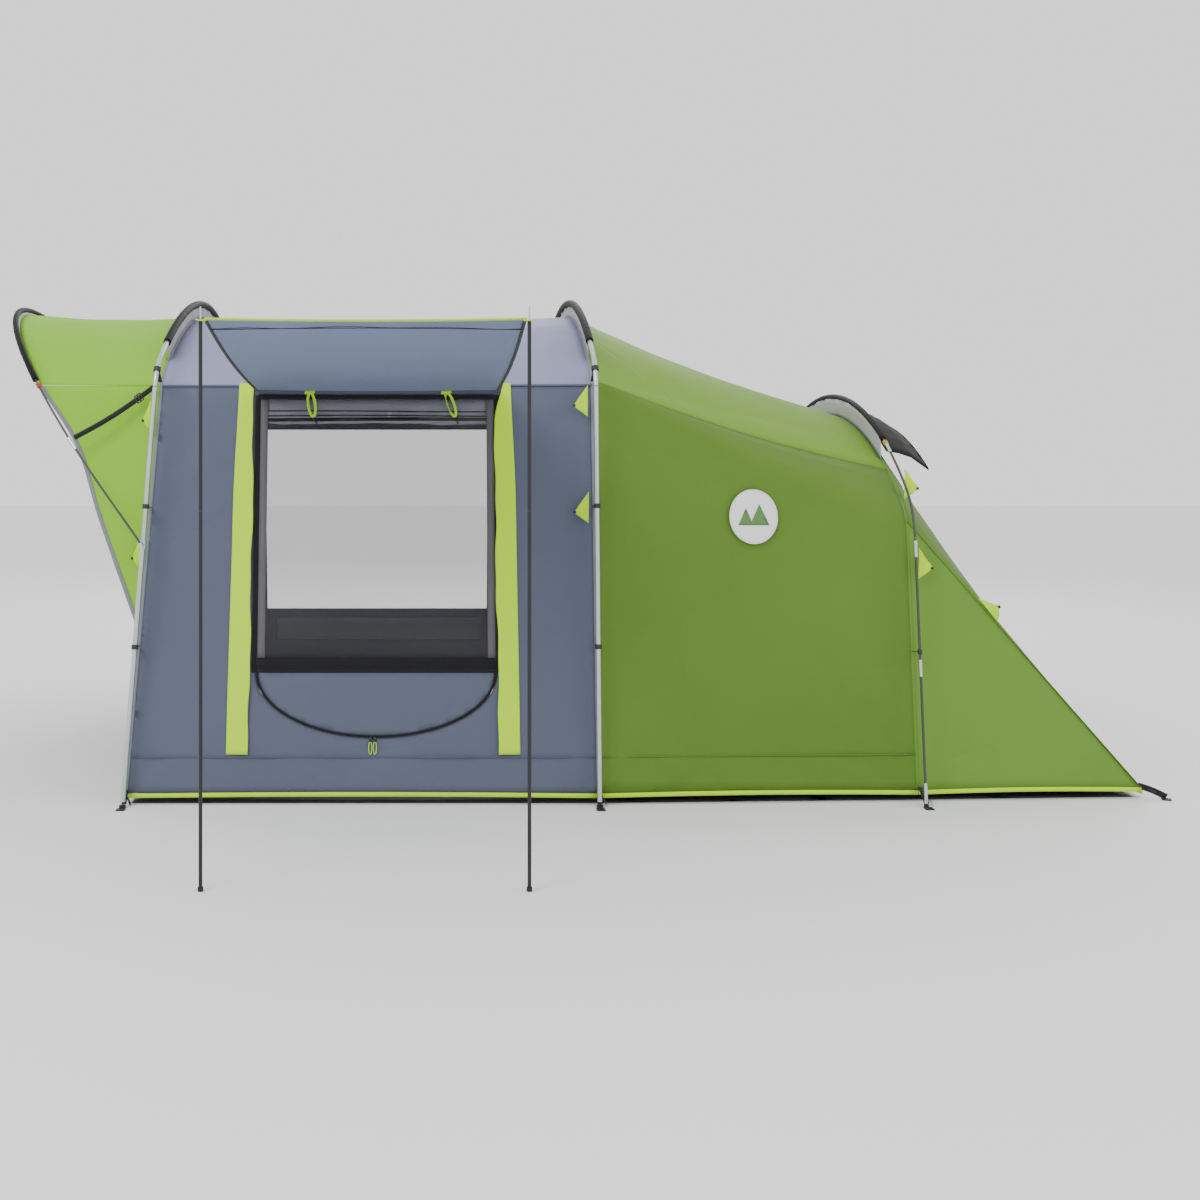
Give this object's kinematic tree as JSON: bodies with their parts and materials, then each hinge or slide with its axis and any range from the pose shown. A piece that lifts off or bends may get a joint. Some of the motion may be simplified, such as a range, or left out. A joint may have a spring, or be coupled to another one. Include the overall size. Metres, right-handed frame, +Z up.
{
  "type": "tunnel tent",
  "caption": "Family tunnel tent on steel and fibreglass arches, with a front canopy hoop, a zipped side door raised as an awning on poles, and a sloping rear with a vent hood.",
  "frame": {"origin": "middle of the groundsheet's underside, on the ground", "axes": "+X to the low rear end, -Y to the side with the awning door, +Z up"},
  "size_m": [4.7779, 3.6832, 2.0645],
  "materials": {
    "steel": "galvanised tube",
    "fibreglass": "pultruded rod, satin",
    "ferrule": "satin",
    "black_steel": "powder coat",
    "sleeve_cloth": "woven polyester",
    "fin_mesh": "open mesh",
    "black_plastic": "moulded",
    "black_webbing": "woven tape",
    "canopy_green": "coated polyester",
    "roof_green": "coated polyester",
    "wall_green": "coated polyester",
    "tail_green": "coated polyester",
    "wall_grey": "coated polyester",
    "roof_grey": "coated polyester",
    "awning_cloth": "coated polyester",
    "window_film": "clear film",
    "hood_cloth": "coated polyester",
    "mesh": "fine mesh",
    "door_trim": "zip tape",
    "lime_trim": "grosgrain tape",
    "ground_sheet": "woven sheet",
    "inner_cloth": "breathable polyester",
    "patch_white": "woven patch"
  },
  "bodies": {
    "shelter": {"front_arch_leg_near": "steel", "front_arch_leg_far": "steel", "front_arch_roof_pole": "steel", "front_arch_sleeve": "sleeve_cloth", "front_arch_fin": "fin_mesh", "mid_arch_leg_near": "steel", "mid_arch_leg_far": "steel", "mid_arch_roof_pole": "steel", "mid_arch_sleeve": "sleeve_cloth", "mid_arch_fin": "fin_mesh", "rear_arch_rods": "fibreglass", "rear_arch_ferrules": "ferrule", "rear_arch_sleeve": "sleeve_cloth", "rear_arch_fin": "fin_mesh", "arch_feet": "black_plastic", "pole_clips": "black_plastic", "peg_tabs": "black_plastic", "foot_straps": "black_webbing", "hoop_hooks": "steel", "canopy_roof": "canopy_green", "canopy_wing_near": "canopy_green", "canopy_wing_far": "canopy_green", "canopy_straps": "black_webbing", "front_wall": "wall_grey", "living_wall_near": "wall_grey", "living_wall_far": "wall_grey", "living_roof": "roof_grey", "far_window": "window_film", "bedroom_wall_near": "wall_green", "bedroom_wall_far": "wall_green", "bedroom_roof": "roof_green", "rear_side_near": "tail_green", "rear_side_far": "tail_green", "rear_wall": "wall_green", "vent_hood": "hood_cloth", "vent_mesh": "mesh", "hem_webbing": "lime_trim", "groundsheet": "ground_sheet", "inner_front": "inner_cloth", "inner_canopy": "inner_cloth", "inner_tail": "inner_cloth", "inner_floor": "ground_sheet", "awning_poles": "black_steel", "awning_tips": "steel", "storm_flaps": "lime_trim", "door_toggles": "lime_trim", "guy_patches": "lime_trim", "badge": "patch_white"},
    "canopy_hoop": {"hoop_rods": "fibreglass", "hoop_ferrules": "ferrule", "hoop_sleeve": "sleeve_cloth", "hoop_feet": "steel"},
    "awning": {"awning_panel": "awning_cloth", "awning_binding": "lime_trim"},
    "mesh_door": {"mesh_door_trim": "door_trim", "mesh_door_window": "mesh", "mesh_door_panel": "wall_grey", "mesh_door_curtain": "hood_cloth"},
    "front_door": {"front_door": "wall_grey"},
    "inner_door": {"inner_door": "inner_cloth"}
  },
  "joints": [
    {"name": "canopy_hoop_fold", "type": "hinge", "parent": "shelter", "child": "canopy_hoop", "pos_m": [-1.97209, 0, 1], "axis": [0, 1, 0], "range_deg": [0, 25]},
    {"name": "awning_lower", "type": "hinge", "parent": "shelter", "child": "awning", "pos_m": [-1.07, -1.07304, 1.602], "axis": [1, 0, 0], "range_deg": [0, 88.5]},
    {"name": "mesh_door_swing", "type": "hinge", "parent": "shelter", "child": "mesh_door", "pos_m": [-1.07, -1.05532, 1.58363], "axis": [1, 0, 0], "range_deg": [0, 80]},
    {"name": "front_door_swing", "type": "hinge", "parent": "shelter", "child": "front_door", "pos_m": [-1.97209, 0.695, 1], "axis": [-0.0628, 0, -0.998], "range_deg": [0, 90]},
    {"name": "inner_door_swing", "type": "hinge", "parent": "shelter", "child": "inner_door", "pos_m": [-0.168, 0.695, 1], "axis": [0, 0, -1], "range_deg": [0, 90]}
  ]
}
